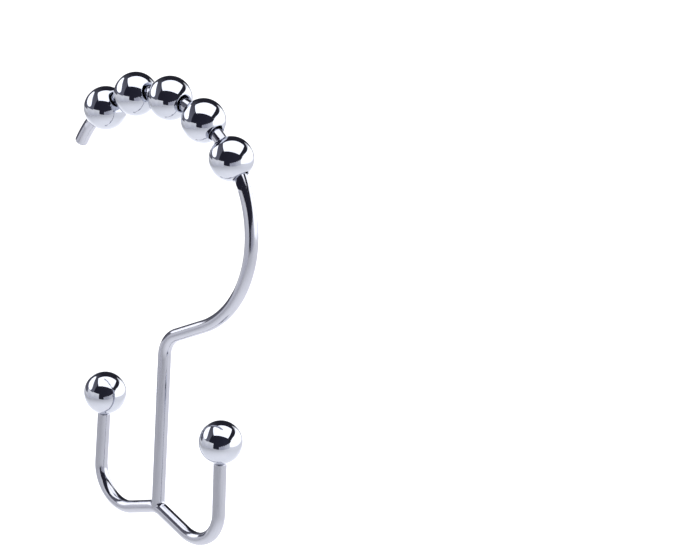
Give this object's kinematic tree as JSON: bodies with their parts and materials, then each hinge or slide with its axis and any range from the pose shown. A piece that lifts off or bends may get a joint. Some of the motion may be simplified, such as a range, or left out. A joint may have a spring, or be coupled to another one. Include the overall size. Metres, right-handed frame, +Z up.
{
  "type": "shower curtain hook",
  "caption": "Chrome wire shower curtain hook: roller balls on an arc over the rod, a straight stem, and a double hook below whose prongs end in balls.",
  "frame": {"origin": "on the axis of the curtain rod, in the hook's mid-plane, where the hook hangs on the rod", "axes": "+X into the room towards the front prong, +Y along the rod, +Z up along the stem"},
  "size_m": [0.0617, 0.0104, 0.1109],
  "materials": {
    "chromed_wire": "bright chrome plate over drawn steel wire",
    "chromed_ball": "mirror-polished chrome plate"
  },
  "bodies": {
    "hook": {"hanger_wire": "chromed_wire", "double_hook_wire": "chromed_wire", "front_tip_ball": "chromed_ball", "back_tip_ball": "chromed_ball"},
    "roller_1": {"roller_ball_1": "chromed_ball"},
    "roller_2": {"roller_ball_2": "chromed_ball"},
    "roller_3": {"roller_ball_3": "chromed_ball"},
    "roller_4": {"roller_ball_4": "chromed_ball"},
    "roller_5": {"roller_ball_5": "chromed_ball"}
  },
  "joints": [
    {"name": "roller_1_spin", "type": "hinge", "parent": "hook", "child": "roller_1", "pos_m": [0.02184, 0, 0.00847], "axis": [-0.7009, 0, 0.7133], "continuous": true},
    {"name": "roller_2_spin", "type": "hinge", "parent": "hook", "child": "roller_2", "pos_m": [0.01226, 0, 0.01514], "axis": [-0.9121, 0, 0.4099], "continuous": true},
    {"name": "roller_3_spin", "type": "hinge", "parent": "hook", "child": "roller_3", "pos_m": [0.00091, 0, 0.01788], "axis": [-0.9987, 0, 0.0506], "continuous": true},
    {"name": "roller_4_spin", "type": "hinge", "parent": "hook", "child": "roller_4", "pos_m": [-0.01066, 0, 0.0163], "axis": [-0.9489, 0, -0.3156], "continuous": true},
    {"name": "roller_5_spin", "type": "hinge", "parent": "hook", "child": "roller_5", "pos_m": [-0.02087, 0, 0.01063], "axis": [-0.7694, 0, -0.6388], "continuous": true}
  ]
}
